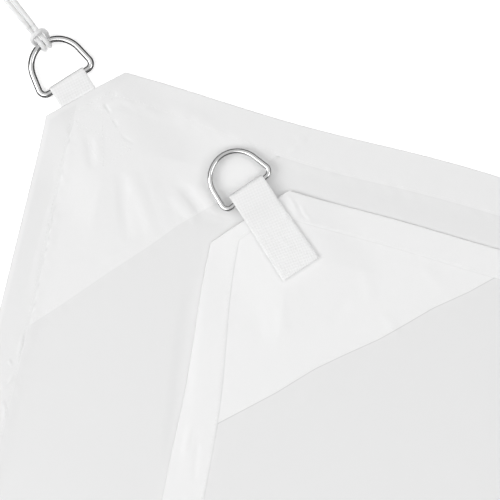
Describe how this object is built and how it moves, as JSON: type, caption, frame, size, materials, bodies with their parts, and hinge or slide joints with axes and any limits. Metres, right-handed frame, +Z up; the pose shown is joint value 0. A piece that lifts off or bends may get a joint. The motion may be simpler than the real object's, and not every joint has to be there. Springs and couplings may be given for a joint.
{
  "type": "shade sail, folded, with its corner rings and a hitched cord",
  "caption": "Square shade sail of white coated polyester, folded once over itself, with patched corners, webbing, D-rings and a doubled cord hitched to a ring.",
  "frame": {"origin": "on the surface that the folded sail lies on, below the middle of the sail with its rings, the cord left out", "axes": "+Y along the sail's long way as it lies folded, towards the corner with the cord; +Z up, across the layers; +X towards the fold"},
  "size_m": [1.254, 2.1631, 0.0166],
  "materials": {
    "cloth": "smooth coated polyester, fine plain weave, slight sheen",
    "patch": "the same cloth, doubled",
    "webbing": "matte woven polyester webbing",
    "steel": "bright polished steel wire",
    "cord": "braided polyester cord"
  },
  "bodies": {
    "root": {"sail": "cloth", "patch_A": "patch", "patch_B": "patch", "patch_C": "patch", "patch_D": "patch", "strap_A": "webbing", "strap_B": "webbing", "strap_C": "webbing", "strap_D": "webbing", "ring_A": "steel", "ring_B": "steel", "ring_C": "steel", "ring_D": "steel", "cord_left": "cord", "cord_right": "cord", "cord_hitch": "cord", "cord_knot": "cord"}
  },
  "joints": []
}
